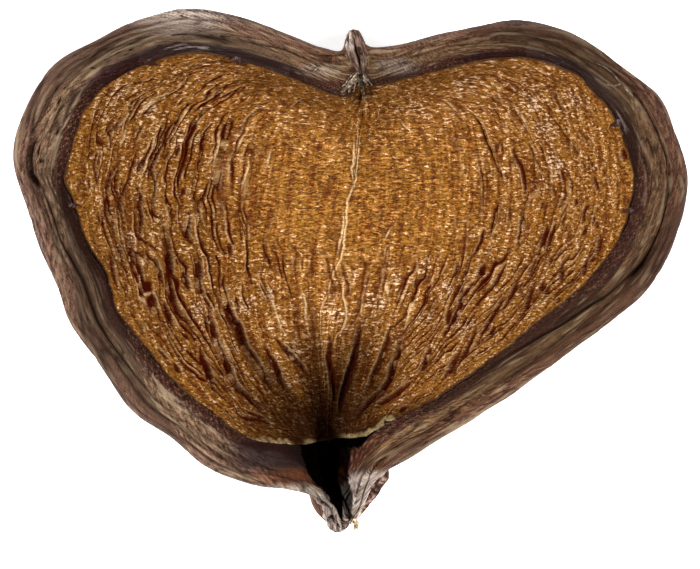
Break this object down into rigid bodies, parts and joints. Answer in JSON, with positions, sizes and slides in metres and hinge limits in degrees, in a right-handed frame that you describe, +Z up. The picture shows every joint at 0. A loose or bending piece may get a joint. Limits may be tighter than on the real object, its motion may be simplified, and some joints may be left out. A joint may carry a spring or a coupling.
{
  "type": "seed pod",
  "caption": "Open woody seed pod lying on its back: a heart-shaped bowl with a thick rolled rim, a wrinkled lining, a split stalk end and a small beak.",
  "frame": {"origin": "centre of the small flat spot under the pod's back that it rests on, at the height of the table", "axes": "+Z up, out of the open bowl; +Y from the stalk end to the beak; +X to the right seen from above with the beak at the top, along the pod's widest extent"},
  "size_m": [0.1072, 0.0837, 0.035],
  "materials": {
    "pod": "dry, dull brown wood with a darker rim"
  },
  "bodies": {
    "root": {"pod": "pod"}
  },
  "joints": []
}
